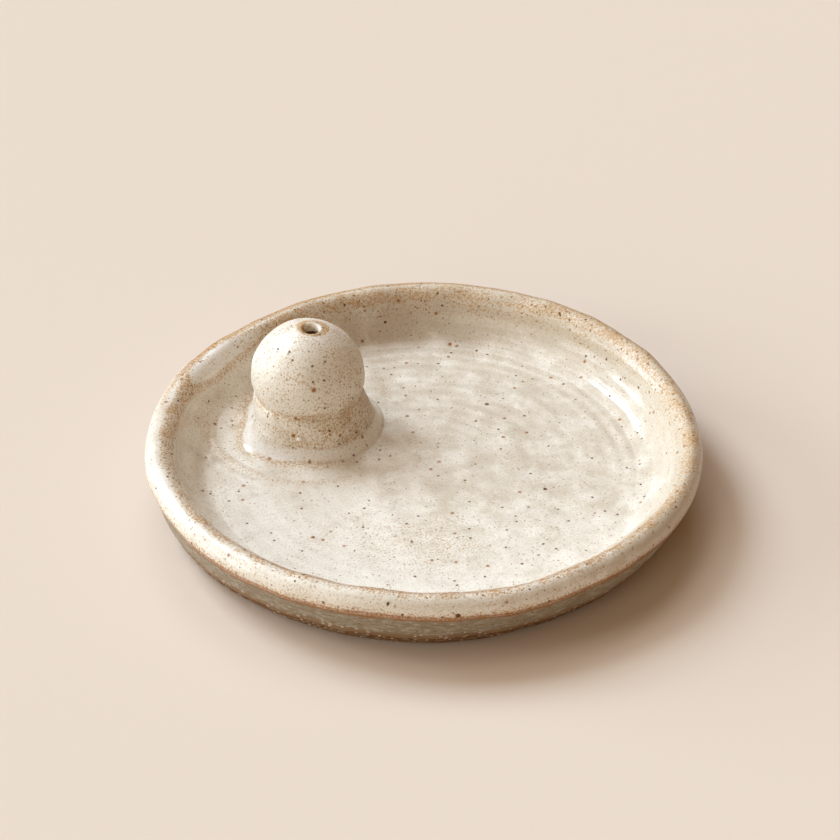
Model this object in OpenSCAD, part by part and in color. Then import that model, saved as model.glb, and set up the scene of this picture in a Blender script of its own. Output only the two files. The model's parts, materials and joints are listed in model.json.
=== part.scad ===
/* [Dish] */
// Diameter of the dish across its rim
dish_d = 120; // [104:1:160]
// Height of the dish, from the face it rests on to the top of the rim
dish_h = 16; // [14:0.5:24]
// Thickness of the floor inside the dish
floor_t = 5.5; // [4.5:0.1:7]
// How far the resting face is set in from the rim, all round
base_inset = 6.5; // [4:0.5:14]
// Radius of the outward curve of the wall, seen from the side
wall_curve_r = 17; // [14:0.5:40]
// Height of the bare edge of the slab, up to the foot of the wall
slab_edge_t = 4; // [2:0.1:4.2]

/* [Rim] */
// Thickness of the roll of clay that makes the rim
rim_d = 6.8; // [5:0.1:8]
// How far below its centre the roll is flattened on to the wall
rim_seat = 2; // [1:0.1:2.2]

/* [Holder] */
// Direction of the holder from the centre of the dish, in degrees
holder_bearing = 148.7; // [0:0.1:360]
// Gap between the holder's foot and the foot of the wall
holder_gap = 0.2; // [0.2:0.1:12]
// Diameter of the ball
ball_d = 24.8; // [20:0.2:30]
// Height of the pad that carries the ball, above the floor
pad_h = 8.8; // [7:0.1:11]
// Clay left under the ball in the dished top of the pad
pad_web = 0.9; // [0.8:0.1:3]
// How much further out the pad reaches at its foot than at its top
pad_flare = 2.2; // [1:0.1:5]
// Radius of the hollow curve on the side of the pad
pad_curve_r = 16; // [10:1:40]

/* [Slip joints] */
// Width of the ledge on the pad that carries the slip under the ball
seam_w = 0.9; // [0.5:0.1:1.5]
// Height of the slip on that ledge
seam_h = 1.3; // [0.6:0.1:1.5]
// Width of the slip ring round the foot of the pad
fillet_w = 1.4; // [1:0.1:4]
// Height of that ring against the pad
fillet_h = 1.6; // [0.8:0.1:2.4]
// Thickness of its outer edge
fillet_edge_t = 0.25; // [0.2:0.05:0.6]
// Radius of the hollow curve on top of it
fillet_curve_r = 2.5; // [2.2:0.1:8]

/* [Stick hole] */
// Diameter of the hole for the stick
bore_d = 3.2; // [2:0.1:5]
// Depth of the hole, from the top of the ball
bore_depth = 17; // [10:0.5:18]
// Depth and width of the flare round its mouth
mouth_flare = 0.9; // [0.4:0.1:1.5]
// How far the hole is off the middle of the ball, along +X
bore_offset = 1; // [0:0.1:2]

/* [Hidden] */
$fn = 180;

// Colours of the glazed and of the bare clay
glaze_colour = "#dcd2c0";
bare_colour = "#a98a63";

// The cuts run this far past the clay they cut
past = 1;

dish_r = dish_d / 2;
base_r = dish_r - base_inset;
rim_r = rim_d / 2;
ball_r = ball_d / 2;

// Centre of the rim roll's section, and the flat on which it sits
rim_mid_r = dish_r - rim_r;
rim_mid_z = dish_h - rim_r;
rim_seat_z = rim_mid_z - rim_seat;
rim_seat_out_r = rim_mid_r + sqrt(rim_r * rim_r - rim_seat * rim_seat);

// The cove inside runs level off the floor and ends upright under the rim roll
cove_r = rim_mid_z - floor_t;
floor_r = rim_mid_r - rim_r - cove_r;
rim_seat_in_r = floor_r + sqrt(cove_r * cove_r - rim_seat * rim_seat);

// The holder, on the floor
pad_top_z = floor_t + pad_h;
ball_z = floor_t + pad_web + ball_r;
seam_top_z = pad_top_z + seam_h;
pad_top_r = ball_r_at(pad_top_z) + seam_w;
pad_foot_r = pad_top_r + pad_flare;
fillet_r = pad_foot_r + fillet_w;
fillet_top_z = floor_t + fillet_h;
fillet_edge_z = floor_t + fillet_edge_t;
holder_out = floor_r - fillet_r - holder_gap;

// The stick hole, below the flare of its mouth
bore_r = bore_d / 2;
ball_top_z = ball_z + ball_r;
bore_end_z = ball_top_z - bore_depth;
mouth_z = ball_top_z - mouth_flare;

// Radius of the ball at height z
function ball_r_at(z) = sqrt(ball_r * ball_r - (ball_z - z) * (ball_z - z));

// Centre of the arc of radius r from p to q, on the left of the way there
function arc_centre(p, q, r) =
    let (chord = q - p, half = norm(chord) / 2)
    (p + q) / 2 + [-chord.y, chord.x] / (2 * half) * sqrt(r * r - half * half);

wall_centre = arc_centre([base_r, 0], [rim_seat_out_r, rim_seat_z], wall_curve_r);

// Section of all clay inside the outer curve of the dish, between two heights
module inside_curve(low, high) {
    translate([0, low])
        square([wall_centre.x, high - low]);
    intersection() {
        translate(wall_centre)
            circle(r = wall_curve_r);
        translate([wall_centre.x, low])
            square([dish_r, high - low]);
    }
}

// A section turned round the middle of the dish
module dish_turned() {
    rotate_extrude()
        children();
}

// A section turned round the middle of the ball
module holder_turned() {
    rotate([0, 0, holder_bearing])
        translate([holder_out, 0, 0])
            rotate([0, 0, -holder_bearing])
                rotate_extrude()
                    children();
}

// Section of the ball, and the hollow that it presses into what carries it
module ball_section() {
    translate([0, ball_z])
        circle(r = ball_r);
}

// Flat slab with a bare edge and underside; its raised middle is the floor
module base_slab() {
    color(bare_colour)
        dish_turned() {
            inside_curve(0, slab_edge_t);
            square([floor_r, floor_t]);
        }
}

// Wall on the edge of the slab, round outside and coved inside
module wall_coil() {
    color(glaze_colour)
        dish_turned()
            difference() {
                inside_curve(slab_edge_t, rim_seat_z);
                translate([0, slab_edge_t - past])
                    square([floor_r, dish_h]);
                translate([floor_r, rim_mid_z])
                    circle(r = cove_r);
            }
}

// Round roll of clay along the top of the wall, flattened where it sits
module rim_roll() {
    color(glaze_colour)
        dish_turned() {
            intersection() {
                translate([rim_mid_r, rim_mid_z])
                    circle(r = rim_r);
                translate([0, rim_seat_z])
                    square([dish_d, dish_h]);
            }
            polygon([
                [rim_seat_in_r, rim_seat_z],
                [rim_mid_r, rim_seat_z],
                [rim_mid_r, rim_mid_z],
                [rim_mid_r - rim_r, rim_mid_z]
            ]);
        }
}

// Flared pad on the floor, dished on top to take the ball
module holder_pad() {
    top = [pad_top_r, pad_top_z];
    foot = [pad_foot_r, fillet_top_z];
    color(glaze_colour)
        holder_turned()
            difference() {
                polygon([
                    [0, floor_t],
                    [pad_foot_r, floor_t],
                    foot,
                    top,
                    [0, pad_top_z]
                ]);
                translate(arc_centre(top, foot, pad_curve_r))
                    circle(r = pad_curve_r);
                ball_section();
            }
}

// Ball with an upright hole for the stick and a flared mouth
module stick_ball() {
    place = [holder_out * cos(holder_bearing), holder_out * sin(holder_bearing), 0];
    color(glaze_colour)
        difference() {
            translate(place + [0, 0, ball_z])
                sphere(r = ball_r);
            translate(place + [bore_offset, 0, bore_end_z])
                cylinder(h = bore_depth + past, r = bore_r);
            translate(place + [bore_offset, 0, mouth_z])
                cylinder(h = mouth_flare + past, r1 = bore_r, r2 = bore_r + mouth_flare + past);
        }
}

// Slip wiped into the crease between the ball and its pad
module ball_seam_slip() {
    color(glaze_colour)
        holder_turned()
            difference() {
                polygon([
                    [0, pad_top_z],
                    [pad_top_r, pad_top_z],
                    [ball_r_at(seam_top_z), seam_top_z],
                    [0, seam_top_z]
                ]);
                ball_section();
            }
}

// Slip smoothed round the foot of the pad on to the floor
module pad_fillet_slip() {
    top = [pad_foot_r, fillet_top_z];
    edge = [fillet_r, fillet_edge_z];
    color(glaze_colour)
        holder_turned()
            difference() {
                polygon([
                    [pad_foot_r, floor_t],
                    [fillet_r, floor_t],
                    edge,
                    top
                ]);
                translate(arc_centre(top, edge, fillet_curve_r))
                    circle(r = fillet_curve_r);
            }
}

base_slab();
wall_coil();
rim_roll();
holder_pad();
stick_ball();
ball_seam_slip();
pad_fillet_slip();
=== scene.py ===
"""Incense stick holder: a stoneware dish with a rolled rim, and a pierced ball on a flared pad.

Each piece is a section carried round the middle of the dish or of the ball, as rings of points.
All pieces are then pushed out of true by one and the same function of place, so a seam between two
pieces stays closed. Shape functions work in millimetres; meshes are in metres.
"""

import json
import math

import bpy
import numpy as np
from bpy.props import FloatProperty, FloatVectorProperty, IntProperty, PointerProperty
from mathutils import Euler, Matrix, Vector


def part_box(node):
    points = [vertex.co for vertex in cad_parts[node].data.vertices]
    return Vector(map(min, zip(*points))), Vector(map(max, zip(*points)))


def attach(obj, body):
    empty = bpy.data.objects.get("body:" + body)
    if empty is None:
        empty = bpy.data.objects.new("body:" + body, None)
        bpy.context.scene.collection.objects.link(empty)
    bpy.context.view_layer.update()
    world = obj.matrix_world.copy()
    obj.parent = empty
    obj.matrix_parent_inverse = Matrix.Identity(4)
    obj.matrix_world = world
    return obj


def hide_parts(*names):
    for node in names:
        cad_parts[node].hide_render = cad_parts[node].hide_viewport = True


bl_info = {
    "name": "Incense Stick Holder",
    "version": (1, 0, 0),
    "blender": (4, 5, 0),
    "location": "3D View > Sidebar > Incense",
    "description": "Makes the pieces, glazes and studio of a hand-built incense stick holder",
    "category": "Add Mesh",
}

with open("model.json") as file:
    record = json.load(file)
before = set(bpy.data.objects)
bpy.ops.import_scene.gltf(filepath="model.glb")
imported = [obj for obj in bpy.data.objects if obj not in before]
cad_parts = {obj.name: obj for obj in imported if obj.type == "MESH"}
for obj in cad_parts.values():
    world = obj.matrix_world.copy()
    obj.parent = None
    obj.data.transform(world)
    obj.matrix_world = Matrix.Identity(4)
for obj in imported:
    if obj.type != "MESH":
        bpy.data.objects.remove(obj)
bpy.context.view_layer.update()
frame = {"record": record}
MM = 0.001


def box_mm(node):
    """Lowest and highest corner of a CAD node, in millimetres."""
    low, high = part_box(node)
    return np.array(low) / MM, np.array(high) / MM


def linear(hex_colour):
    """sRGB hex colour as linear red, green, blue and an alpha of 1."""
    parts = [int(hex_colour[i : i + 2], 16) / 255 for i in (1, 3, 5)]
    curve = [c / 12.92 if c <= 0.04045 else ((c + 0.055) / 1.055) ** 2.4 for c in parts]
    return (*curve, 1.0)


# ---------------------------------------------------------------- sizes and colours


def colour_property(name, description, hex_colour):
    """A colour that the sidebar shows, with its default as sRGB hex."""
    return FloatVectorProperty(
        name=name, description=description, subtype="COLOR", size=4, min=0, max=1,
        default=linear(hex_colour),
    )


class PotSizes(bpy.types.PropertyGroup):
    """Sizes of the pot that the frame's boxes don't give, and how far it is out of true."""

    roll: FloatProperty(
        name="Rim roll", description="Thickness of the roll of clay that makes the rim",
        default=6.8 * MM, unit="LENGTH", precision=5,
    )
    wall_curve: FloatProperty(
        name="Wall curve", description="Radius of the outward curve of the wall",
        default=17 * MM, unit="LENGTH", precision=5,
    )
    pad_curve: FloatProperty(
        name="Pad curve", description="Radius of the hollow curve on the side of the pad",
        default=16 * MM, unit="LENGTH", precision=5,
    )
    mouth_flare: FloatProperty(
        name="Mouth flare", description="Depth and width of the flare round the stick hole",
        default=0.9 * MM, unit="LENGTH", precision=5,
    )
    foot_shift: FloatProperty(
        name="Foot shift", description="How far the foot sits to the left of the rim",
        default=1.25 * MM, unit="LENGTH", precision=5,
    )
    lump: FloatProperty(
        name="Lumps", description="Height of the lumps that the fingers left",
        default=0.11 * MM, unit="LENGTH", precision=5,
    )
    ring: FloatProperty(
        name="Throwing rings", description="Height of the rings left by the turning wheel",
        default=0.1 * MM, unit="LENGTH", precision=5,
    )
    around: IntProperty(
        name="Points round", description="Points on each ring of the dish", default=640, min=96,
    )
    holder_around: IntProperty(
        name="Points round the holder", description="Points on each ring of the ball and its pad",
        default=256, min=48,
    )


class PotColours(bpy.types.PropertyGroup):
    """Colours of the glaze, of what shows through it, and of the clay."""

    milk: colour_property("Milk", "Glaze where it is thick", "#F4EEE2")
    # Pooled glaze round the pad's foot, whitened there as a painted highlight; also the white bead
    # of slip
    pooled_and_highlight: colour_property("Pooled", "Glaze where it pooled round the pad", "#FDFAF4")
    oat: colour_property("Oatmeal", "Glaze where it is thinner", "#DCD1C0")
    fleck: colour_property("Fleck", "Fine grey-tan grain in the glaze", "#A8895C")
    haze: colour_property("Haze", "Tan clouds in the glaze", "#CDBA9A")
    freckle: colour_property("Freckle", "Fine light brown specks", "#865A28")
    iron: colour_property("Iron", "Dark iron specks", "#63370F")
    ochre: colour_property("Ochre", "Thin glaze over clay, beside an edge", "#C4985F")
    rust: colour_property("Rust", "Clay that shows where the glaze breaks over an edge", "#A0662B")
    wash: colour_property("Wash", "Thin grey wash on the outer wall", "#978B76")
    clay: colour_property("Clay", "Bare fired clay of the foot", "#8A6438")
    chalk: colour_property("Chalk", "Pale grit in the bare clay", "#D8C7A8")


class StageSettings(bpy.types.PropertyGroup):
    """Floor and light."""

    floor: colour_property("Floor", "Pale matt table top", "#E8D9CA")
    window: FloatProperty(
        name="Window", description="Strength of the soft cool light from the back left",
        default=2.1,
    )
    low_window: FloatProperty(
        name="Low window", description="Strength of the lower part of that light", default=1.05,
    )
    low_left: FloatProperty(
        name="Low left", description="Strength of the soft light from low on the left",
        default=0.82,
    )
    high_left: FloatProperty(
        name="High left", description="Strength of the soft light from high on the left",
        default=0.72,
    )
    back: FloatProperty(
        name="Back", description="Strength of the soft light from the back", default=0.5,
    )
    front: FloatProperty(
        name="Front", description="Strength of the soft low light from the front", default=0.58,
    )
    sky: FloatProperty(
        name="Sky", description="Strength of the warm light from all round", default=0.22,
    )


# ---------------------------------------------------------------- the pot's own measures


class Pot:
    """The measures that the pieces share, in millimetres, from the frame's boxes and PotSizes."""

    def __init__(self, sizes):
        roll_low, roll_high = box_mm("rim_roll")
        slab_high = box_mm("base_slab")[1]
        wall_low = box_mm("wall_coil")[0]
        pad_low, pad_high = box_mm("holder_pad")
        ball_low, ball_high = box_mm("stick_ball")
        seam_low, seam_high = box_mm("ball_seam_slip")
        ring_low, ring_high = box_mm("pad_fillet_slip")
        hole = next(m for m in frame["record"]["mounts"] if m["name"] == "stick_hole")

        self.around, self.holder_around = sizes.around, sizes.holder_around
        self.roll_r = sizes.roll / MM / 2
        self.roll = np.array([roll_high[0] - self.roll_r, roll_high[2] - self.roll_r])
        self.seat_z = roll_low[2]
        self.seat_out = self.roll[0] + math.sqrt(
            self.roll_r**2 - (self.roll[1] - self.seat_z) ** 2
        )
        self.floor_z = slab_high[2]
        self.cove_r = self.roll[1] - self.floor_z
        self.floor_r = self.roll[0] - self.roll_r - self.cove_r
        self.cove = np.array([self.floor_r, self.roll[1]])
        self.seat_in = self.floor_r + math.sqrt(
            self.cove_r**2 - (self.roll[1] - self.seat_z) ** 2
        )
        self.slab_edge_z = wall_low[2]
        self.wall_r = sizes.wall_curve / MM
        self.wall = self.wall_centre(slab_high[0], self.slab_edge_z)

        self.axis = (pad_low[:2] + pad_high[:2]) / 2
        self.pad_foot_r = (pad_high[0] - pad_low[0]) / 2
        self.pad_top_z = pad_high[2]
        self.pad_curve = sizes.pad_curve / MM
        self.ball_r = (ball_high[0] - ball_low[0]) / 2
        self.ball_z = ball_low[2] + self.ball_r
        self.seam_r = (seam_high[0] - seam_low[0]) / 2
        self.seam_z = seam_high[2]
        self.fillet_r = (ring_high[0] - ring_low[0]) / 2
        self.fillet_z = ring_high[2]

        self.hole = np.array(hole["pos_m"][:2]) / MM
        self.hole_r = hole["dims"]["r_mm"]
        self.hole_end_z = hole["pos_m"][2] / MM - hole["dims"]["length_mm"] / 2
        self.flare = sizes.mouth_flare / MM
        self.foot_shift = sizes.foot_shift / MM
        self.lump = sizes.lump / MM
        self.ring = sizes.ring / MM

    def wall_centre(self, slab_out, slab_z):
        """Centre of the wall's arc, through the slab's widest edge and the rim's seat."""
        p, q = np.array([slab_out, slab_z]), np.array([self.seat_out, self.seat_z])
        chord = q - p
        half = np.hypot(*chord) / 2
        left = np.array([-chord[1], chord[0]]) / (2 * half)
        return (p + q) / 2 + left * math.sqrt(self.wall_r**2 - half**2)

    def pad_side(self):
        """Points on the hollow side of the pad, as radius and height, from its foot to its top."""
        foot = np.array([self.pad_foot_r, self.fillet_z])
        top = np.array([self.seam_r, self.pad_top_z])
        chord = foot - top
        half = np.hypot(*chord) / 2
        side = np.array([-chord[1], chord[0]]) / (2 * half)
        centre = (top + foot) / 2 + side * math.sqrt(self.pad_curve**2 - half**2)
        turn = [angle_at(centre, p) for p in (foot, top)]
        turn[1] += 360 * round((turn[0] - turn[1]) / 360)
        return arc(centre, self.pad_curve, *turn, 26)

    def midwall(self, z):
        """Radius at height z that parts the outside of the wall and the rim from the inside."""
        return 50 + 0.45 * z

    def wall_out(self, z):
        """Radius of the outer wall at height z."""
        return self.wall[0] + np.sqrt(self.wall_r**2 - (z - self.wall[1]) ** 2)

    def ball_out(self, z):
        """Radius of the ball at height z."""
        return np.sqrt(self.ball_r**2 - (z - self.ball_z) ** 2)


# ---------------------------------------------------------------- shape functions


def smooth(low, high, x):
    """0 below low, 1 above high, and an S-shaped step between them."""
    t = np.clip((x - low) / (high - low), 0, 1)
    return t * t * (3 - 2 * t)


def hump(x, centre, width):
    """Bell curve of height 1, whose half width at 37% is the given width."""
    return np.exp(-(((x - centre) / width) ** 2))


def waves(points, size, seed):
    """Smooth uneven field of about -1 to 1: a dozen sine waves of about that length in mm, each in
    its own direction and phase, added up."""
    draw = np.random.default_rng(seed)
    ways = draw.normal(size=(12, 3))
    ways /= np.linalg.norm(ways, axis=1)[:, None]
    ways *= 2 * np.pi / (size * draw.uniform(0.7, 1.5, (12, 1)))
    return np.sin(points @ ways.T + draw.uniform(0, 2 * np.pi, 12)).sum(-1) / 3.5


def arc(centre, radius, start, end, count):
    """Points on an arc in the plane of the section, from one angle in degrees to the other."""
    a = np.radians(np.linspace(start, end, count))
    return np.stack([centre[0] + radius * np.cos(a), centre[1] + radius * np.sin(a)], 1)


def line(p, q, count):
    """Points on a straight line, without its two ends."""
    t = np.linspace(0, 1, count + 2)[1:-1, None]
    return np.array(p) * (1 - t) + np.array(q) * t


def angle_at(centre, point):
    """Direction from centre to point in the plane of the section, in degrees."""
    return math.degrees(math.atan2(point[1] - centre[1], point[0] - centre[0]))


def turned(section, centre, around):
    """Rings of points: each point of the section, as radius and height, carried round an upright
    axis at centre."""
    a = np.linspace(0, 2 * np.pi, around, endpoint=False)
    r, z = section[:, 0, None], section[:, 1, None]
    return np.stack(
        [centre[0] + r * np.cos(a), centre[1] + r * np.sin(a), z + np.zeros_like(a)], -1
    )


def lip_position(pot, points):
    """Place across the rim in mm: 0 on the outer edge where the glaze breaks, counted along the
    section, upwards over the roll and down into the dish, and below 0 down the outer wall."""
    r, z = np.hypot(points[..., 0], points[..., 1]), points[..., 2]
    out = np.hypot(points[..., 0] - pot.axis[0], points[..., 1] - pot.axis[1])
    start = math.atan2(pot.seat_z - pot.roll[1], pot.seat_out - pot.roll[0])
    a = np.arctan2(z - pot.roll[1], r - pot.roll[0])
    a = np.where(a < -np.pi / 2, a + 2 * np.pi, a)
    over = pot.roll_r * (a - start)
    # The roll is slimmer at the front right, so its inner edge comes sooner
    turn = np.arctan2(points[..., 1], points[..., 0])
    over = over * (1.09 + 0.19 * np.cos(turn + 0.87))
    inside = pot.roll_r * (np.pi - start) + (pot.roll[1] - z) + np.maximum(0, pot.floor_r - r)
    outside = -1.12 * (pot.seat_z - z)
    low = np.where(r > pot.midwall(z), outside, inside)
    low = np.where((z >= pot.seat_z) & (r > pot.seat_in - 0.2), over, low)
    return np.where((out < pot.fillet_r + 3) & (z > pot.floor_z), 40, low)


def stem_position(pot, points):
    """Place down the holder in mm: 0 in the crease under the ball, below 0 up the ball, above 0
    down the pad and on along the floor."""
    out = np.hypot(points[..., 0] - pot.axis[0], points[..., 1] - pot.axis[1])
    z = points[..., 2]
    tilt = np.arctan2(out, pot.ball_z - z)
    crease = math.acos((pot.ball_z - pot.seam_z) / pot.ball_r)
    ball = -pot.ball_r * (tilt - crease)
    pad = 1.05 * (pot.seam_z - z) + np.maximum(0, out - pot.pad_foot_r)
    return np.where((z > pot.seam_z) & (out < pot.ball_r + 2), ball, pad)


# Swells round the pad and round the dish: direction and half width in degrees, and height in mm
PAD_OUT = ((180, 28, -2.6), (-149, 24, 0.9), (-95, 45, -1.9), (-20, 30, -0.5))
RIM_OUT = ((131, 22, -1.1), (18, 24, -0.9), (170, 10, -0.3), (-168, 9, 0.4))
RIM_UP = ((-100, 9, 0.4), (-74, 11, -0.35), (-42, 13, 0.35), (-19, 8, -0.3), (92, 28, 0.3))
FOOT_OUT = ((-122, 22, -0.6), (-24, 9, -1.2), (-76, 12, 0.3), (-67, 5, -0.4))
# The same, as shares of 0 to 1: where the rings on the floor are deepest, and where the pad's waist
# and the crease under the ball are pressed in
RINGED = ((50, 75, 1),)
WAIST = ((-150, 65, 1),)
CREASE = ((-45, 40, 1),)
# Heights of the waist and of the crease, and distance between one finger ring and the next, in mm
WAIST_Z, CREASE_Z = 10.2, 14.4
PITCH = 3.4
# Small white bead of slip on the front of the pad: its middle and radius, in mm
BEAD = (((-27.2, 2.5, 10.6), 0.8),)


def swells(turn, humps):
    """Sum of the humps round the dish, in mm, at each angle."""
    off = [(turn - math.radians(at) + np.pi) % (2 * np.pi) - np.pi for at, _, _ in humps]
    return sum(high * hump(d, 0, math.radians(wide)) for d, (_, wide, high) in zip(off, humps))


def outwards(pot, r, z):
    """Direction straight out from the clay's core, as radius and height, and 1 inside the dish, 0
    outside. The core is the middle of the cove, of the rim roll or of the wall's arc."""
    cove = np.stack([np.minimum(0, pot.cove[0] - r), np.maximum(pot.cove[1] - z, 1e-6)], -1)
    roll = np.stack([r - pot.roll[0], z - pot.roll[1]], -1)
    wall = np.stack([r - pot.wall[0], z - pot.wall[1]], -1)
    cove, roll, wall = (v / np.maximum(np.linalg.norm(v, axis=-1), 1e-6)[..., None]
                        for v in (cove, roll, wall))
    is_out = smooth(-1.5, 1.5, r - pot.midwall(z))[..., None]
    is_up = smooth(-1, 1, z - pot.seat_z)[..., None]
    is_roll = smooth(-0.8, 0.8, z - pot.roll[1])[..., None]
    outer = wall * (1 - is_up) + roll * is_up
    inner = cove * (1 - is_roll) + roll * is_roll
    return outer * is_out + inner * (1 - is_out), 1 - is_out[..., 0]


def finger_rings(pot, r, turn, z):
    """Height of the rings that the wheel left on the floor and in the cove."""
    # Along the section from the floor's edge: below 0 on the floor, above 0 up the cove
    climb = np.where(
        r > pot.floor_r,
        pot.cove_r * (np.arctan2(z - pot.cove[1], r - pot.cove[0]) + np.pi / 2),
        r - pot.floor_r,
    )
    climb = np.where(z > pot.cove[1], pot.cove_r * np.pi / 2 + z - pot.cove[1], climb)
    strong = 0.35 + 0.65 * swells(turn, RINGED)
    groove = -0.4 * pot.ring * strong * np.cos(2 * np.pi * (climb - PITCH) / PITCH)
    groove = groove * smooth(-9, 0, climb) * (1 - smooth(8, 12, climb))
    groove = groove - 0.7 * pot.ring * hump(climb - 1.5 * turn, 4.1, 0.4) * strong
    rings = 0.15 * pot.ring * np.sin(2 * np.pi * (r + 0.5 * np.sin(turn + 0.6)) / PITCH)
    return (groove + rings * smooth(5, 25, r)) * smooth(4, 5, z)


def holder_shift(pot, points, off_x, off_y, out):
    """How far each point of the ball and the pad is moved: by lumps straight out from the middle of
    the ball, or from its axis lower down; by the pad's waist, its crease and the bead of slip on
    its front; and by its foot, which is narrower on the left and at the front."""
    z, bearing = points[..., 2], np.arctan2(off_y, off_x)
    middle = z + (pot.ball_z - z) * smooth(pot.pad_top_z - 2, pot.ball_z - 2, z)
    away = np.stack([off_x, off_y, z - middle], -1)
    away /= np.maximum(np.linalg.norm(away, axis=-1), 1e-6)[..., None]
    size = smooth(pot.floor_z + 0.2, pot.floor_z + 3, z) * (out > 3.2)
    size = size * (0.16 * waves(points, 13, 3) + 0.06 * waves(points, 5, 4))
    size = size + (0.2 - 1.1 * swells(bearing, WAIST)) * hump(z, WAIST_Z, 2.6) * (out > 9)
    size = size - (0.4 + 0.3 * swells(bearing, CREASE)) * hump(z, CREASE_Z, 1.6) * (out > 9)
    for place, radius in BEAD:
        size = size + 0.9 * hump(np.linalg.norm(points - place, axis=-1), 0, radius)
    shift = away * (size * (out < pot.fillet_r + 3) * (z > pot.floor_z))[..., None]
    foot = swells(bearing, PAD_OUT) * (1 - smooth(6.4, 12, z)) * smooth(6, 10, out)
    foot = foot * (1 - smooth(pot.fillet_r + 1.3, pot.fillet_r + 3, out)) * (z > pot.floor_z - 0.01)
    shift[..., 0] += off_x / np.maximum(out, 1e-6) * foot
    shift[..., 1] += off_y / np.maximum(out, 1e-6) * foot
    return shift


def handmade(pot, points):
    """The same points as a hand-built pot has them.

    Lumps push each place straight out from the clay's core. Finger rings run round floor and cove,
    the rim and the foot are a little out of round, and the pad is pinched in at its waist.
    """
    x, y, z = points[..., 0], points[..., 1], points[..., 2]
    r, turn = np.hypot(x, y), np.arctan2(y, x)
    off_x, off_y = x - pot.axis[0], y - pot.axis[1]
    out = np.hypot(off_x, off_y)
    unit = np.stack([x, y], -1) / np.maximum(r, 1e-6)[..., None]
    core, inside = outwards(pot, r, z)

    on_rim = smooth(50, 56, r)
    lumps = pot.lump * smooth(0, 2, z) * (
        waves(points, 12, 1) * (0.6 + 0.4 * on_rim) + waves(points, 5, 2) * (0.2 + 0.1 * on_rim)
    )
    rings = finger_rings(pot, r, turn, z)
    # Finer rings, wiped round the left of the pad
    wiped = hump(out, 20.5, 4) * smooth(0, 8, -off_x) * smooth(4, 5, z) * (z < pot.floor_z + 4)
    rings = rings + pot.ring * 0.6 * wiped * np.sin(2 * np.pi * out / 2.6)
    # None of them on the holder above the floor
    bared = 1 - smooth(pot.floor_z + 0.2, pot.floor_z + 3, z) * (out < pot.fillet_r + 3)
    # The inner top of the rim roll is pressed in, most at the front right and least behind left
    lean = np.arctan2(np.maximum(z - pot.roll[1], 0), r - pot.roll[0])
    lean = np.where(z < pot.roll[1], np.where(r < pot.roll[0], np.pi, 0), lean)
    slim = (0.75 + 0.45 * np.cos(turn + math.radians(45))) * hump(lean, math.radians(128), 0.95)
    slim = slim * smooth(7, 13.5, z) * (r > 50)
    chipped = 0.08 * waves(points, 2.4, 5) * (1 - inside) * hump(z, 2.2, 1.6) * smooth(0, 1, z)
    dish = (lumps + rings * inside) * bared - slim + chipped
    moved = points + np.concatenate([unit * (core[..., 0] * dish)[..., None],
                                     (core[..., 1] * dish)[..., None]], -1)

    # Out of round, and the foot shifted
    bulge = (-0.12 + swells(turn, RIM_OUT)) * smooth(47, 57, r) * smooth(2, pot.seat_z, z)
    bulge = bulge + (-0.35 + swells(turn, FOOT_OUT)) * smooth(44, 52, r) * (1 - smooth(7, 11, z))
    shift = -pot.foot_shift * (1 - smooth(0, pot.seat_z, z)) * smooth(40, 52, r)
    moved[..., 0] += unit[..., 0] * bulge + shift
    moved[..., 1] += unit[..., 1] * bulge
    moved[..., 2] += swells(turn, RIM_UP) * smooth(50, 56, r) * smooth(6, 12, z)
    return moved + holder_shift(pot, points, off_x, off_y, out)


# ---------------------------------------------------------------- meshes


def ring_faces(count, around, closed):
    """Faces on rings of points, as indices: quads from each ring to the next. On a closed piece the
    last ring meets the first; otherwise triangles run from each end ring to a point of its own,
    and these two points come after all the rings."""
    ring = np.arange(count)[:, None] * around
    step = np.arange(around)
    after = np.roll(step, -1)
    low, high = (ring, np.roll(ring, -1, 0)) if closed else (ring[:-1], ring[1:])
    quads = np.stack([low + step, low + after, high + after, high + step], -1).reshape(-1, 4)
    if closed:
        return quads, np.zeros((0, 3), int)
    first, top = np.full(around, count * around), (count - 1) * around
    tris = np.concatenate([
        np.stack([first, after, step], -1), np.stack([first + 1, top + step, top + after], -1),
    ])
    return quads, tris


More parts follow.
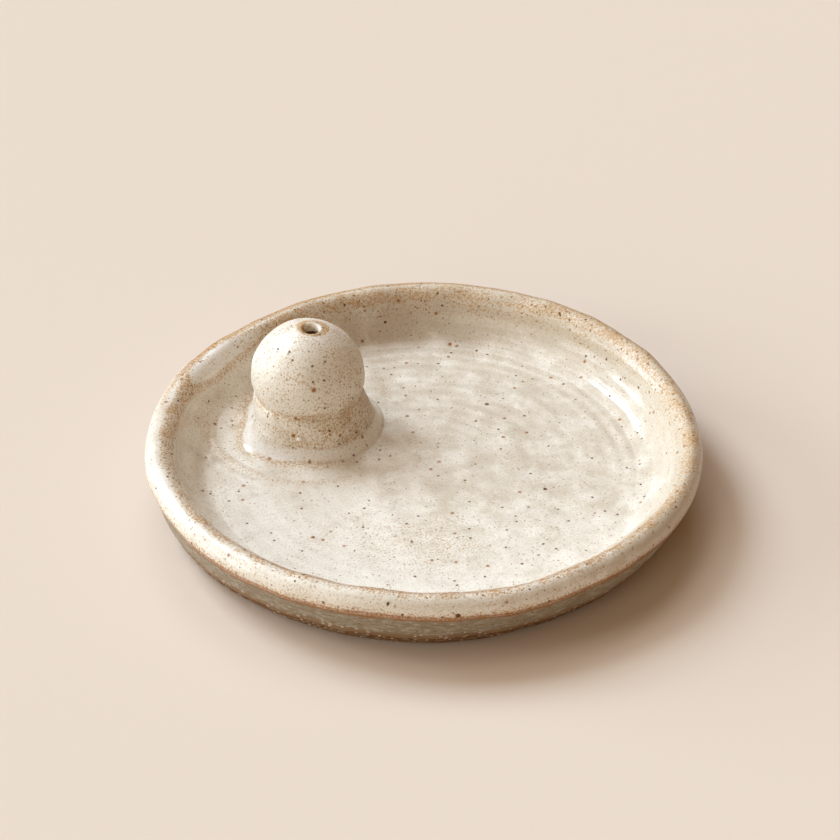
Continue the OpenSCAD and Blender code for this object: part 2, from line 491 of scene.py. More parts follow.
def make_piece(pot, rings, node, materials, kinds=None, closed=False):
    """A piece from rings of points, in mm. kinds gives each ring's material. The piece is named
    after the CAD node that it replaces, and rides on the root body."""
    name = f"{node}_clay"
    marks, points = rings.reshape(-1, 3), handmade(pot, rings)
    if closed:
        points = points.reshape(-1, 3)
    else:
        marks = np.concatenate([marks, rings[[0, -1]].mean(1)])
        points = np.concatenate([points.reshape(-1, 3), points[[0, -1]].mean(1)])
    around = rings.shape[1]
    quads, tris = ring_faces(len(rings), around, closed)
    # Turned outwards where the enclosed volume comes out below 0
    a, b, c, d = (points[quads[:, i]] for i in range(4))
    volume = np.einsum("ij,ij->", a, np.cross(b, c)) + np.einsum("ij,ij->", a, np.cross(c, d))
    if volume < 0:
        quads, tris = quads[:, ::-1], tris[:, ::-1]
    corners = np.concatenate([quads.ravel(), tris.ravel()])
    starts = np.concatenate([4 * np.arange(len(quads)), quads.size + 3 * np.arange(len(tris))])

    mesh = bpy.data.meshes.new(name)
    mesh.vertices.add(len(points))
    mesh.vertices.foreach_set("co", (points * MM).astype(np.float32).ravel())
    mesh.loops.add(len(corners))
    mesh.loops.foreach_set("vertex_index", corners.astype(np.int32))
    mesh.polygons.add(len(starts))
    mesh.polygons.foreach_set("loop_start", starts.astype(np.int32))
    for key, position in (("lip_mm", lip_position), ("stem_mm", stem_position)):
        value = position(pot, marks).astype(np.float32)
        mesh.attributes.new(key, "FLOAT", "POINT").data.foreach_set("value", value)
    for material in materials:
        mesh.materials.append(material)
    if kinds is not None:
        kinds = np.array(kinds, np.int32)
        index = np.repeat(kinds[: len(quads) // around], around)
        ends = np.repeat(kinds[[0, -1]], len(tris) // 2)
        mesh.polygons.foreach_set("material_index", np.concatenate([index, ends]))
    mesh.update(calc_edges=True)
    mesh.validate()
    mesh.shade_smooth()
    mesh.set_sharp_from_angle(angle=math.radians(38))

    piece = bpy.data.objects.new(name, mesh)
    bpy.context.scene.collection.objects.link(piece)
    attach(piece, "root")
    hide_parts(node)
    return piece


# ---------------------------------------------------------------- materials


def add(tree, kind, inputs=(), out=None, **settings):
    """Adds one shader node with its settings. inputs gives its sockets values, or the outputs that
    feed them, in the sockets' order or by identifier. Returns the named output, or else the first
    that is in use."""
    node = tree.nodes.new("ShaderNode" + kind)
    for key, value in settings.items():
        setattr(node, key, value)
    sockets = {s.identifier: s for s in node.inputs}
    named = inputs if isinstance(inputs, dict) else dict(zip(sockets, inputs))
    for key, value in named.items():
        if isinstance(value, bpy.types.NodeSocket):
            tree.links.new(value, sockets[key])
        else:
            sockets[key].default_value = value
    if not node.outputs:
        return node
    return node.outputs[out] if out else next(s for s in node.outputs if s.enabled)


def new_material(name):
    """A material without nodes, its tree, and the place on the object in mm."""
    material = bpy.data.materials.new(name)
    material.use_nodes = True
    tree = material.node_tree
    tree.nodes.clear()
    place = add(tree, "TexCoord", out="Object")
    place = add(tree, "VectorMath", {"Vector": place, "Scale": 1 / MM}, operation="SCALE")
    return material, tree, place


def along(tree, name, wander, by):
    """Place along the section in mm, as the mesh keeps it under that name, plus wander times by, so
    that what follows it gets a ragged edge."""
    place = add(tree, "Attribute", attribute_name=name, out="Fac")
    return add(tree, "Math", (wander, by, place), operation="MULTIPLY_ADD")


def fade(tree, value, low, high, *strengths):
    """Mask: 0 where value is at low and 1 where it is at high, with a smooth step between them, and
    all of it times each of the strengths."""
    mask = add(tree, "MapRange", (value, low, high), interpolation_type="SMOOTHSTEP")
    for strength in strengths:
        mask = add(tree, "Math", (mask, strength), operation="MULTIPLY")
    return mask


def band(tree, value, centre, width, solid, *strengths):
    """Mask of a line: 0 further than width from centre, and 1 within solid times that width, all of
    it times each of the strengths."""
    off = add(tree, "Math", (value, centre), operation="SUBTRACT")
    off = add(tree, "Math", (off,), operation="ABSOLUTE")
    return fade(tree, off, width, width * solid, *strengths)


def strongest(tree, *masks):
    """Mask that is at each place the strongest of those given."""
    whole = masks[0]
    for mask in masks[1:]:
        whole = add(tree, "Math", (whole, mask), operation="MAXIMUM")
    return whole


def dots(tree, place, spacing, radius, share, soft, growth=0.0):
    """Mask of dots, all in mm: a ball of that radius at about every spacing, of which the given
    share is drawn. The surface cuts the balls at all depths, so the dots differ in size. They are
    larger by growth, as a share of the spacing."""
    cell = add(tree, "TexVoronoi", {"Vector": place, "Scale": 1 / spacing}, out="Distance")
    lot = add(tree, "SeparateColor", (cell.node.outputs["Color"],), out="Red")
    drawn = add(tree, "Math", (lot, share), operation="LESS_THAN")
    near = add(tree, "Math", (cell, growth), operation="SUBTRACT")
    return fade(tree, near, radius / spacing, (radius - soft) / spacing, drawn)


def spots(tree, place, marks, core):
    """Mask of single round spots, each a place and a radius in mm: 1 within core, as a share of the
    radius, and 0 outside it."""
    masks = []
    for middle, radius in marks:
        off = add(tree, "VectorMath", (place, middle), operation="DISTANCE")
        masks.append(fade(tree, off, radius, radius * core))
    return strongest(tree, *masks)


def lay(tree, colour, layers):
    """The colour with others laid over it in turn: each layer is a colour, the mask of where it
    lies, and its strength from 0 to 1."""
    colour = tuple(colour)
    for over, mask, strength in layers:
        mask = add(tree, "Math", (mask, strength), operation="MULTIPLY")
        colour = add(tree, "Mix", {
            "Factor_Float": mask, "A_Color": colour, "B_Color": tuple(over),
        }, data_type="RGBA")
    return colour


# Large single iron spots, and larger rust spots that bled: place in mm, and radius
IRON_SPOTS = (
    ((13.9, 23.6, 5.5), 0.6), ((2.9, 7.1, 5.5), 0.3), ((25.7, -8.4, 5.5), 0.55),
    ((20.7, 34.8, 5.5), 0.35), ((16.6, 6.3, 5.5), 0.3), ((36.3, 3.0, 5.5), 0.35),
    ((46.3, -6.9, 5.5), 0.4), ((6.5, -59.6, 12.1), 0.7), ((20.8, -54.8, 15.3), 0.6),
    ((-7.4, -58.9, 14.6), 0.45), ((-31.6, 11.0, 28.6), 0.4), ((-9.1, 51.5, 9.2), 0.5),
)
RUST_SPOTS = (
    ((-23.8, 3.9, 22.8), 0.8), ((-27.8, 4.2, 15.2), 0.6), ((-28.4, 3.6, 11.0), 0.8),
    ((-23.4, -25.3, 5.5), 0.7), ((-39.8, -43.6, 15.0), 0.6), ((5.8, 47.3, 5.7), 0.8),
)


def thinned(tree, place, lip, stem, side, pool_and_highlight):
    """How thin the glaze is, from about 0, milk, to 1, oatmeal: clouds of 6 mm, thicker where it
    pooled round the pad, a band whose milk also stands in as a painted highlight, and at the front
    right, on the left and on the ball, and thinner where it drained off the wall on the right."""
    thin = add(tree, "TexNoise", {
        "Vector": place, "Scale": 1 / 6, "Detail": 5.0, "Roughness": 0.65,
    })
    front = add(tree, "VectorMath", (place, (0.4, -0.9, 0)), operation="DOT_PRODUCT")
    for thick in (
        fade(tree, front, 5, 40, 0.1), fade(tree, side, 5, -25, 0.16),
        fade(tree, stem, 1, -4, 0.2),
    ):
        thin = add(tree, "Math", (thin, thick), operation="SUBTRACT")
    drained = fade(tree, lip, 20, 13, 0.32, fade(tree, side, 5, 35))
    thin = add(tree, "Math", (thin, drained), operation="ADD")
    return add(tree, "Math", (pool_and_highlight, -0.5, thin), operation="MULTIPLY_ADD")


def run_thin_and_shade(tree, place, lip, stem, side, back, dry):
    """Mask of where the glaze has run thin: over the edges of the rim, most at the back and on the
    right; on the holder, round the mouth of its hole; and in a blush on the floor at the front. Its
    tan also stands in as painted shade: on the ball's right and underside, along the back rim's top
    edge and on the back of the inner wall."""
    ball = add(tree, "VectorMath", (place, (-25.5, 15.5, 18.8)), operation="SUBTRACT")
    right = add(tree, "VectorMath", (ball, (0.75, -0.3, -0.6)), operation="DOT_PRODUCT")
    mouth = add(tree, "VectorMath", (place, (-24.2, 16.2, 30.6)), operation="DISTANCE")
    blush = add(tree, "VectorMath", (place, (-1.5, -26.5, 5.5)), operation="SUBTRACT")
    blush = add(tree, "VectorMath", (blush, (0.6, 1.15, 1)), operation="MULTIPLY")
    blush = add(tree, "VectorMath", (blush,), operation="LENGTH")
    # Lines along the rim, down the holder and round the mouth: middle and half width in mm, the
    # share of that width which is solid, and strength
    bands = (
        (lip, 0.4, 3.6, 0.4, 0.52), (lip, 9.2, 3.2, 0.45, 0.54),
        (lip, 8.8, 3.6, 0.5, fade(tree, side, 15, 50, 0.6)),
        (lip, 12.5, 4.5, 0.3, fade(tree, side, 20, 55, 0.3)),
        # Rust on the back rim's top edge: partly a glaze break, partly painted shade along that far
        # edge
        (lip, 5.4, 1.8, 0.4, fade(tree, back, 0, 30, 0.8)),
        # Tan on the back of the inner wall: partly thin glaze, partly painted shade
        (lip, 11.5, 5.0, 0.3, fade(tree, back, 15, 45, 0.35)),
        (stem, 0.6, 2.2, 0.3, 0.5), (stem, 6.6, 1.2, 0.3, fade(tree, right, -6, -10, 0.5)),
        # Thin glaze on the ball's right and underside: partly grain, partly painted shade on its
        # shaded side
        (stem, -5.0, 14.5, 0.9, fade(tree, right, -5, 12, 0.45)), (mouth, 2.8, 1.2, 0.4, 0.85),
    )
    return strongest(
        tree, add(tree, "Math", (dry, 0.2), operation="MULTIPLY"),
        *(band(tree, *values) for values in bands), fade(tree, blush, 17, 0, 0.26),
    )


def glaze_material(colours):
    """Oatmeal glaze on speckled stoneware, dipped and fired: a glassy coat, milky where thick, with
    iron specks that bleed through, and ochre and rust where it runs thin over an edge."""
    material, tree, place = new_material("oatmeal_speckled_glaze")
    # Four uneven fields: the size in mm of what each draws, its detail and its roughness
    wander, grain, clouds, skin = (
        add(tree, "TexNoise", {
            "Vector": place, "Scale": 1 / size, "Detail": detail, "Roughness": rough,
        })
        for size, detail, rough in (
            (5, 4.0, 0.6), (0.45, 2.0, 0.8), (11, 8.0, 0.75), (1.3, 4.0, 0.6),
        )
    )
    wander = add(tree, "Math", (wander, 0.5), operation="SUBTRACT")
    lip = along(tree, "lip_mm", wander, 2.0)
    stem = along(tree, "stem_mm", wander, 2.4)
    side = add(tree, "VectorMath", (place, (0.9, 0.43, 0)), operation="DOT_PRODUCT")
    back = add(tree, "SeparateXYZ", (place,), out="Y")

    # Where it pooled round the foot of the pad it is whiter, lightened further as a painted
    # highlight, and little else shows
    pool_and_highlight = band(tree, stem, 10.0, 2.3, 0.5)
    clear = add(tree, "Math", (pool_and_highlight, -0.85, 1.0), operation="MULTIPLY_ADD")
    thin = thinned(tree, place, lip, stem, side, pool_and_highlight)
    haze = fade(tree, clouds, 0.5, 0.72, fade(tree, grain, 0.4, 0.6), clear)
    # The rim and the holder are drier than the floor
    dry = strongest(tree, fade(tree, stem, 12, 9), fade(tree, lip, 14, 10, 0.6))
    bare = run_thin_and_shade(tree, place, lip, stem, side, back, dry)
    bare = add(tree, "Math", (bare, clear), operation="MULTIPLY")
    # Grain that is stronger where the glaze is thin, and in the painted shade that shares that
    # mask, and the clay's colour showing through it
    coarse = add(tree, "Math", (bare, 0.7, 0.2), operation="MULTIPLY_ADD")
    coarse = fade(tree, grain, 0.49, 0.6, coarse)
    show = add(tree, "Math", (wander, 1.2, bare), operation="MULTIPLY_ADD")
    uneven = add(tree, "Math", (grain, 0.53), operation="SUBTRACT")
    show = add(tree, "Math", (uneven, 2.8, show), operation="MULTIPLY_ADD")
    # Rust lines along the rim's edges, the one along the back rim's top edge partly painted shade,
    # and faint tan lines on the floor round the left of the pad
    edges = strongest(
        tree, band(tree, lip, 5.1, 1.0, 0.25, fade(tree, back, 0, 30, 0.7)),
        band(tree, lip, 9.4, 1.5, 0.3, fade(tree, back, -20, -50, 0.6)),
        band(tree, lip, 0.6, 1.5, 0.5),
    )
    edges = fade(tree, grain, 0.3, 0.5, edges)
    round_pad = strongest(tree, band(tree, stem, 12.9, 1.5, 0.25),
                          band(tree, stem, 17.5, 1.6, 0.25, 0.5))
    round_pad = fade(tree, side, -12, -25, 0.75, fade(tree, grain, 0.4, 0.58), round_pad)

    # Dots are torn a little out of round; the freckles grow where the glaze is thin
    torn = add(tree, "TexNoise", {"Vector": place, "Scale": 2.5, "Detail": 2.0}, out="Color")
    torn = add(tree, "VectorMath", (torn, (0.5, 0.5, 0.5)), operation="SUBTRACT")
    torn = add(tree, "VectorMath", {"Vector": torn, "Scale": 0.45}, operation="SCALE")
    torn = add(tree, "VectorMath", (place, torn), operation="ADD")
    growth = add(tree, "Math", (bare, 0.15), operation="MULTIPLY")
    freckles = dots(tree, torn, 1.1, 0.231, 0.5, 0.143, growth)
    specks = dots(tree, torn, 2.7, 0.38, 0.6, 0.16)
    bled = spots(tree, torn, RUST_SPOTS, 0.3)
    colour = lay(tree, colours.milk, (
        (colours.oat, fade(tree, thin, 0.28, 0.62), 1.0),
        # Painted highlight: the pool round the pad's foot made whiter to stand for the gloss there
        (colours.pooled_and_highlight, pool_and_highlight, 0.9),
        (colours.haze, haze, 0.5),
        (colours.fleck, coarse, 1.0),
        # Tan where the glaze ran thin, and painted shade on the ball's shaded side and at the back
        # of the dish
        (colours.haze, bare, 0.36),
        (colours.ochre, fade(tree, show, 0.3, 0.7), 0.8),
        (colours.rust, edges, 0.85),
        (colours.ochre, round_pad, 1.0),
        (colours.freckle, freckles, 0.75),
        (colours.rust, dots(tree, torn, 5.0, 0.6, 0.8, 0.4), 0.9),
        (colours.iron, specks, 0.85),
        (colours.pooled_and_highlight, spots(tree, torn, BEAD, 0.5), 1.0),
        (colours.iron, spots(tree, torn, IRON_SPOTS, 0.6), 1.0),
        (colours.rust, bled, 1.0),
    ))

    # Orange-peel skin, pitted where iron bleeds through; the pits have no gloss
    pits = strongest(tree, specks, freckles, bled)
    height = add(tree, "Math", (pits, -0.5, skin), operation="MULTIPLY_ADD")
    height = add(tree, "Math", (show, -0.3, height), operation="MULTIPLY_ADD")
    strength = add(tree, "Math", (bare, 0.8, 0.3), operation="MULTIPLY_ADD")
    normal = add(tree, "Bump", {"Strength": strength, "Distance": 0.1 * MM, "Height": height})
    rough = add(tree, "Math", (fade(tree, show, 0.0, 1.0, 0.25), 0.15), operation="ADD")
    rough = add(tree, "Math", (dry, 0.2, rough), operation="MULTIPLY_ADD")
    shine = add(tree, "Math", (pits, -0.45, 0.5), operation="MULTIPLY_ADD")
    shader = add(tree, "BsdfPrincipled", {
        "Base Color": colour, "Roughness": rough, "IOR": 1.5, "Specular IOR Level": shine,
        "Normal": normal,
    })
    add(tree, "OutputMaterial", {"Surface": shader})
    return material


def wash_material(colours):
    """Thin glaze wash wiped round the outer wall with a wet sponge: grey-beige, satin, in fine
    level streaks, with the clay's brown showing between them and towards the foot."""
    material, tree, place = new_material("thin_grey_glaze_wash")
    # Four times closer in height than round the wall, so that the grain lies in level streaks
    level = add(tree, "VectorMath", (place, (1, 1, 4)), operation="MULTIPLY")
    streak = add(tree, "TexNoise", {
        "Vector": level, "Scale": 1 / 2.2, "Detail": 5.0, "Roughness": 0.85,
    })
    wander = add(tree, "TexNoise", {
        "Vector": place, "Scale": 1 / 3.5, "Detail": 4.0, "Roughness": 0.6,
    })
    wander = add(tree, "Math", (wander, 0.5), operation="SUBTRACT")
    uneven = add(tree, "Math", (streak, 0.5), operation="SUBTRACT")
    lip = along(tree, "lip_mm", wander, 2.4)
    lip = add(tree, "Math", (uneven, 2.0, lip), operation="MULTIPLY_ADD")
    chips = dots(tree, place, 1.3, 0.42, 0.5, 0.12)
    chips = fade(tree, lip, -3.5, -6.0, chips)
    colour = lay(tree, colours.wash, (
        (colours.oat, fade(tree, streak, 0.52, 0.62), 0.6),
        (colours.clay, fade(tree, streak, 0.48, 0.4), 0.75),
        (colours.clay, fade(tree, lip, -4.8, -6.6), 0.8),
        (colours.rust, fade(tree, lip, -0.7, -0.1), 0.8),
        (colours.milk, chips, 0.8),
        (colours.iron, dots(tree, place, 1.3, 0.28, 0.8, 0.12), 0.7),
    ))
    height = add(tree, "Math", (chips, 0.5, streak), operation="MULTIPLY_ADD")
    normal = add(tree, "Bump", {"Strength": 0.8, "Distance": 0.2 * MM, "Height": height})
    shader = add(tree, "BsdfPrincipled", {
        "Base Color": colour, "Roughness": 0.55, "IOR": 1.5, "Normal": normal,
    })
    add(tree, "OutputMaterial", {"Surface": shader})
    return material


def clay_material(colours):
    """Bare speckled stoneware clay, sponged and fired without glaze: matt, brown and gritty, with
    pale grit standing out of it."""
    material, tree, place = new_material("bare_stoneware_clay")
    grain, patches = (
        add(tree, "TexNoise", {
            "Vector": place, "Scale": 1 / size, "Detail": detail, "Roughness": rough,
        })
        for size, detail, rough in ((0.7, 4.0, 0.75), (1.6, 3.0, 0.7))
    )
    shade = add(tree, "MapRange", (grain, 0.42, 0.6, 0.0, 0.9))
    grit = dots(tree, place, 1.2, 0.42, 0.55, 0.12)
    colour = lay(tree, colours.iron, (
        (colours.clay, shade, 1.0),
        (colours.wash, fade(tree, patches, 0.5, 0.6), 0.6),
        (colours.chalk, grit, 1.0),
    ))
    height = add(tree, "Math", (grit, 0.8, grain), operation="MULTIPLY_ADD")
    normal = add(tree, "Bump", {"Strength": 0.9, "Distance": 0.3 * MM, "Height": height})
    shader = add(tree, "BsdfPrincipled", {
        "Base Color": colour, "Roughness": 0.85, "IOR": 1.45, "Normal": normal,
    })
    add(tree, "OutputMaterial", {"Surface": shader})
    return material


def table_material(stage):
    """Matt painted board: even and pale, with a faint tooth of about a millimetre."""
    material, tree, place = new_material("matt_painted_board")
    tooth = add(tree, "TexNoise", {"Vector": place, "Scale": 0.9, "Detail": 3.0})
    normal = add(tree, "Bump", {"Strength": 0.15, "Distance": 0.1 * MM, "Height": tooth})
    shader = add(tree, "BsdfPrincipled", {
        "Base Color": tuple(stage.floor), "Roughness": 0.8, "Normal": normal,
    })
    add(tree, "OutputMaterial", {"Surface": shader})
    return material


def materials_of(scene):
    """Glaze, wash and bare clay, made once."""
    names = ("oatmeal_speckled_glaze", "thin_grey_glaze_wash", "bare_stoneware_clay")
    if any(name not in bpy.data.materials for name in names):
        for make in (glaze_material, wash_material, clay_material):
            make(scene.pot_colours)
    return [bpy.data.materials[name] for name in names]


GLAZE, WASH, CLAY = range(3)


# ---------------------------------------------------------------- operators


class AddBaseSlab(bpy.types.Operator):
    """Adds the flat slab, with the dish's floor on top and the bare foot round its edge"""

    bl_idname = "incense.base_slab"
    bl_label = "Base Slab"

    def execute(self, context):
        pot = Pot(context.scene.pot_sizes)
        foot = pot.wall_out(0.0)
        under = np.stack([np.linspace(0.6, foot - 1.2, 14), np.zeros(14)], 1)
        edge = [(foot - 0.6, 0.03), (foot - 0.1, 0.22)]
        start, end = (angle_at(pot.wall, (pot.wall_out(z), z)) for z in (0.5, pot.slab_edge_z))
        side = arc(pot.wall, pot.wall_r, start, end, 18)
        step = line(side[-1], (pot.floor_r, pot.slab_edge_z), 3)
        riser = line((pot.floor_r, pot.slab_edge_z), (pot.floor_r, pot.floor_z), 1)
        top = np.stack([np.linspace(pot.floor_r, 0.5, 92), np.full(92, pot.floor_z)], 1)
        section = np.concatenate([under, edge, side, step, riser, top])
        kinds = [CLAY] * (len(section) - len(top)) + [GLAZE] * len(top)
        rings = turned(section, (0, 0), pot.around)
        make_piece(pot, rings, "base_slab", materials_of(context.scene), kinds)
        return {"FINISHED"}


class AddWallCoil(bpy.types.Operator):
    """Adds the wall, wiped with a thin wash outside and glazed in its cove"""

    bl_idname = "incense.wall_coil"
    bl_label = "Wall"

    def execute(self, context):
        pot = Pot(context.scene.pot_sizes)
        top, low = (pot.seat_out, pot.seat_z), (pot.wall_out(pot.slab_edge_z), pot.slab_edge_z)
        outer = arc(pot.wall, pot.wall_r, angle_at(pot.wall, top), angle_at(pot.wall, low), 28)
        under = line(low, (pot.floor_r, pot.slab_edge_z), 3)
        riser = line((pot.floor_r, pot.slab_edge_z), (pot.floor_r, pot.floor_z), 1)
        end = angle_at(pot.cove, (pot.seat_in, pot.seat_z))
        cove = arc(pot.cove, pot.cove_r, -90, end, 34)
        seat = line((pot.seat_in, pot.seat_z), top, 4)
        section = np.concatenate([outer, under, riser, cove, seat])
        washed = len(outer) + len(under) + len(riser)
        kinds = [WASH] * washed + [GLAZE] * (len(section) - washed)
        rings = turned(section, (0, 0), pot.around)
        make_piece(pot, rings, "wall_coil", materials_of(context.scene), kinds,
                   closed=True)
        return {"FINISHED"}


class AddRimRoll(bpy.types.Operator):
    """Adds the roll of clay along the top of the wall"""

    bl_idname = "incense.rim_roll"
    bl_label = "Rim Roll"

    def execute(self, context):
        pot = Pot(context.scene.pot_sizes)
        start = angle_at(pot.roll, (pot.seat_out, pot.seat_z))
        over = arc(pot.roll, pot.roll_r, start, 180, 48)
        cove = arc(pot.cove, pot.cove_r, 0, angle_at(pot.cove, (pot.seat_in, pot.seat_z)), 9)[1:]
        seat = line(cove[-1], over[0], 4)
        section = np.concatenate([over, cove, seat])
        rings = turned(section, (0, 0), pot.around)
        make_piece(pot, rings, "rim_roll", materials_of(context.scene), closed=True)
        return {"FINISHED"}


class AddHolderPad(bpy.types.Operator):
    """Adds the flared pad on the floor, dished on top to take the ball"""

    bl_idname = "incense.holder_pad"
    bl_label = "Pad"

    def execute(self, context):
        pot = Pot(context.scene.pot_sizes)
        flare = pot.pad_side()
        under = np.stack([np.linspace(0.5, pot.pad_foot_r, 10), np.full(10, pot.floor_z)], 1)
        riser = line(under[-1], flare[0], 1)
        ball = np.array([0, pot.ball_z])
        lip = (pot.ball_out(pot.pad_top_z), pot.pad_top_z)
        ledge = line(flare[-1], lip, 1)
        hollow = arc(ball, pot.ball_r, angle_at(ball, lip), -87.5, 22)
        section = np.concatenate([under, riser, flare, ledge, hollow])
        rings = turned(section, pot.axis, pot.holder_around)
        make_piece(pot, rings, "holder_pad", materials_of(context.scene)[:1])
        return {"FINISHED"}


class AddStickBall(bpy.types.Operator):
    """Adds the ball, with the upright stick hole and its worn mouth"""

    bl_idname = "incense.stick_ball"
    bl_label = "Ball"

    def execute(self, context):
        pot = Pot(context.scene.pot_sizes)
        around = pot.holder_around
        a = np.linspace(0, 2 * np.pi, around, endpoint=False)
        top_z = pot.ball_z + pot.ball_r
        # The hole, on its own axis
        end = np.stack([np.linspace(0.3, pot.hole_r, 4), np.full(4, pot.hole_end_z)], 1)
        bore = line((pot.hole_r, pot.hole_end_z), (pot.hole_r, top_z - pot.flare), 14)
        bore = np.concatenate([end, bore, [(pot.hole_r, top_z - pot.flare)]])
        hole = turned(bore, pot.hole, around)
        # The ball's skin: level rings whose middle moves from the hole's axis to the ball's
        mouth = math.asin((pot.hole_r + pot.flare) / pot.ball_r)
        tilt = np.linspace(mouth, math.pi - 0.03, 112)[:, None]
        drift = (pot.hole - pot.axis) / pot.ball_r
        fade = ((math.pi - tilt) / (math.pi - mouth)) ** 1.5
        way = np.stack([
            np.sin(tilt) * np.cos(a) + drift[0] * fade,
            np.sin(tilt) * np.sin(a) + drift[1] * fade,
            np.cos(tilt) + 0 * a,
        ], -1)
        way /= np.linalg.norm(way, axis=-1)[..., None]
        skin = way * pot.ball_r + [*pot.axis, pot.ball_z]
        # The worn lip: from the hole's wall to the skin on a rounded flare
        t = np.linspace(0, 1, 9)[1:-1, None, None]
        lip = hole[-1] * (1 - t) + skin[0] * t
        lip[..., 2] += 0.22 * np.sin(np.pi * t[..., 0])
        rings = np.concatenate([hole, lip, skin])
        # The glaze ran over the lip and two rings down the hole; below them the hole is bare clay,
        # whose dark brown also stands in as painted shade deep in the hole
        bare = len(hole) - 2
        kinds = [CLAY] * bare + [GLAZE] * (len(rings) - bare)
        make_piece(pot, rings, "stick_ball", materials_of(context.scene), kinds)
        return {"FINISHED"}


class AddSlipJoints(bpy.types.Operator):
    """Adds the slip wiped into the crease under the ball and round the foot of the pad"""

    bl_idname = "incense.slip_joints"
    bl_label = "Slip Joints"

    def execute(self, context):
        pot = Pot(context.scene.pot_sizes)
        glaze = materials_of(context.scene)[:1]
        ball = np.array([0, pot.ball_z])
        low = (pot.ball_out(pot.pad_top_z), pot.pad_top_z)
        high = (pot.ball_out(pot.seam_z), pot.seam_z)
        t = np.linspace(0, 1, 9)[:, None]
        face = np.array([pot.seam_r, pot.pad_top_z]) * (1 - t) + np.array(high) * t
        face[:, 0] -= 0.12 * np.sin(np.pi * t[:, 0])
        back = arc(ball, pot.ball_r, angle_at(ball, high), angle_at(ball, low), 6)[1:]
        section = np.concatenate([face, back, line(low, face[0], 1)])
        rings = turned(section, pot.axis, pot.holder_around)
        make_piece(pot, rings, "ball_seam_slip", glaze, closed=True)

        # Feathered out on to the floor, and up the pad until it runs along the pad's own side
        side, outer = pot.pad_side(), pot.fillet_r + 0.8
        p, q = np.array([outer, pot.floor_z + 0.03]), side[8] + [0.03, 0]
        slope = (side[9] - side[8]) / np.linalg.norm(side[9] - side[8])
        t = np.linspace(0, 1, 24)[:, None]
        sweep = (1 - t) ** 2 * (1 + 2 * t) * p + t**2 * (3 - 2 * t) * q
        sweep = sweep + t * (1 - t) ** 2 * [-4.5, 1.6] - t**2 * (1 - t) * 3.5 * slope
        inner = pot.pad_foot_r - 1.2
        section = np.concatenate([
            [[outer, pot.floor_z]], sweep, side[9:10] - [0.5, 0], [[inner, pot.floor_z]]
        ])
        rings = turned(section, pot.axis, pot.holder_around)
        make_piece(pot, rings, "pad_fillet_slip", glaze, closed=True)
        return {"FINISHED"}


# Half the width of the table top, in metres
TABLE_HALF = 2.0
# The camera: the point it looks at and its distance from it in mm, how far it looks down in
# degrees, and its lens and sensor in mm
AIM = (-1.06, 0.0, 17.67)
AWAY = 600.0
TILT = 35.0
LENS, SENSOR = 120.19, 36.0
# Soft lamps: colour, width as the pot sees it, and where the light comes from, all in degrees:
# round from the right, towards the back, and up from the table
LAMPS = (
    ("window", (0.7, 0.85, 1.0), 26.0, 141.0, 41.0),
    ("low_window", (0.78, 0.9, 1.0), 20.0, 160.0, 16.5),
    ("low_left", (0.86, 0.95, 1.0), 24.0, 192.0, 14.0),
    ("high_left", (1.0, 0.99, 0.96), 40.0, 168.0, 58.0),
    ("back", (0.88, 0.96, 1.0), 28.0, 92.0, 50.0),
    ("front", (1.0, 1.0, 0.93), 40.0, 240.0, 20.0),
)
# Warm colour of the light from all round
SKY = (1.0, 0.57, 0.24, 1.0)


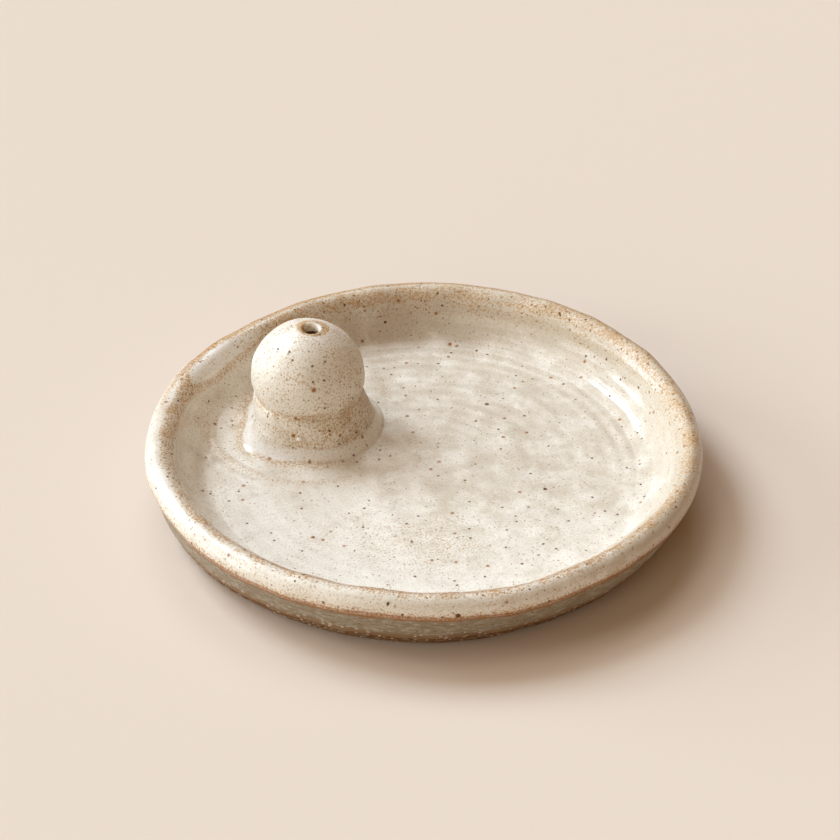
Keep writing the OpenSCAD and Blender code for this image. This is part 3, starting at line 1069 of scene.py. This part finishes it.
class AddStage(bpy.types.Operator):
    """Adds the table top, the soft lights and the camera"""

    bl_idname = "incense.stage"
    bl_label = "Stage"

    def execute(self, context):
        scene = context.scene
        stage = scene.stage_settings
        mesh = bpy.data.meshes.new("table_top")
        half = TABLE_HALF
        mesh.from_pydata(
            [(-half, -half, 0), (half, -half, 0), (half, half, 0), (-half, half, 0)], [],
            [(0, 1, 2, 3)],
        )
        mesh.materials.append(table_material(stage))
        table = bpy.data.objects.new("table_top", mesh)
        scene.collection.objects.link(table)

        camera = bpy.data.objects.new("camera", bpy.data.cameras.new("camera"))
        camera.data.sensor_width = SENSOR
        camera.data.lens = LENS
        camera.data.clip_start = 0.05
        camera.data.clip_end = 10.0
        target, away, tilt = Vector(AIM) * MM, AWAY * MM, math.radians(TILT)
        camera.location = target + Vector((0, -away * math.cos(tilt), away * math.sin(tilt)))
        camera.rotation_euler = Euler((math.pi / 2 - tilt, 0, 0))
        scene.collection.objects.link(camera)
        scene.camera = camera

        for name, colour, wide, turn, rise in LAMPS:
            light = bpy.data.lights.new(name, "SUN")
            light.energy, light.color = getattr(stage, name), colour
            light.angle = math.radians(wide)
            lamp = bpy.data.objects.new(name, light)
            lamp.rotation_euler = Euler((0, math.radians(90.0 - rise), math.radians(turn)))
            scene.collection.objects.link(lamp)

        world = bpy.data.worlds.new("studio")
        world.use_nodes = True
        tree = world.node_tree
        tree.nodes.clear()
        ray = add(tree, "LightPath", out="Is Camera Ray")
        light = add(tree, "Background", {"Color": SKY, "Strength": stage.sky})
        seen = add(tree, "Background", {"Color": tuple(stage.floor), "Strength": 1.0})
        both = add(tree, "MixShader", {"Fac": ray, "Shader": light, "Shader_001": seen})
        add(tree, "OutputWorld", {"Surface": both})
        scene.world = world
        scene.view_settings.view_transform = "Standard"
        return {"FINISHED"}


class IncensePanel(bpy.types.Panel):
    """Lists the pieces and their settings"""

    bl_idname = "VIEW3D_PT_incense"
    bl_label = "Incense Stick Holder"
    bl_space_type = "VIEW_3D"
    bl_region_type = "UI"
    bl_category = "Incense"

    def draw(self, context):
        layout = self.layout
        for operator in OPERATORS:
            layout.operator(operator.bl_idname)
        for group in ("pot_sizes", "pot_colours", "stage_settings"):
            settings = getattr(context.scene, group)
            box = layout.box()
            for name in settings.bl_rna.properties.keys():
                if name not in ("rna_type", "name"):
                    box.prop(settings, name)


GROUPS = {"pot_sizes": PotSizes, "pot_colours": PotColours, "stage_settings": StageSettings}
OPERATORS = (
    AddBaseSlab, AddWallCoil, AddRimRoll, AddHolderPad, AddStickBall, AddSlipJoints, AddStage,
)


def register():
    """Registers the groups, the operators and the panel, and gives each scene its settings."""
    for cls in (*GROUPS.values(), *OPERATORS, IncensePanel):
        bpy.utils.register_class(cls)
    for name, cls in GROUPS.items():
        setattr(bpy.types.Scene, name, PointerProperty(type=cls))


def unregister():
    """Takes all of them away again."""
    for name in GROUPS:
        delattr(bpy.types.Scene, name)
    for cls in (IncensePanel, *OPERATORS, *GROUPS.values()):
        bpy.utils.unregister_class(cls)


def main():
    """Makes every piece and the stage."""
    register()
    for operator in OPERATORS:
        group, name = operator.bl_idname.split(".")
        if getattr(getattr(bpy.ops, group), name)() != {"FINISHED"}:
            raise RuntimeError(f"{operator.bl_idname} didn't finish")


if __name__ == "__main__":
    main()
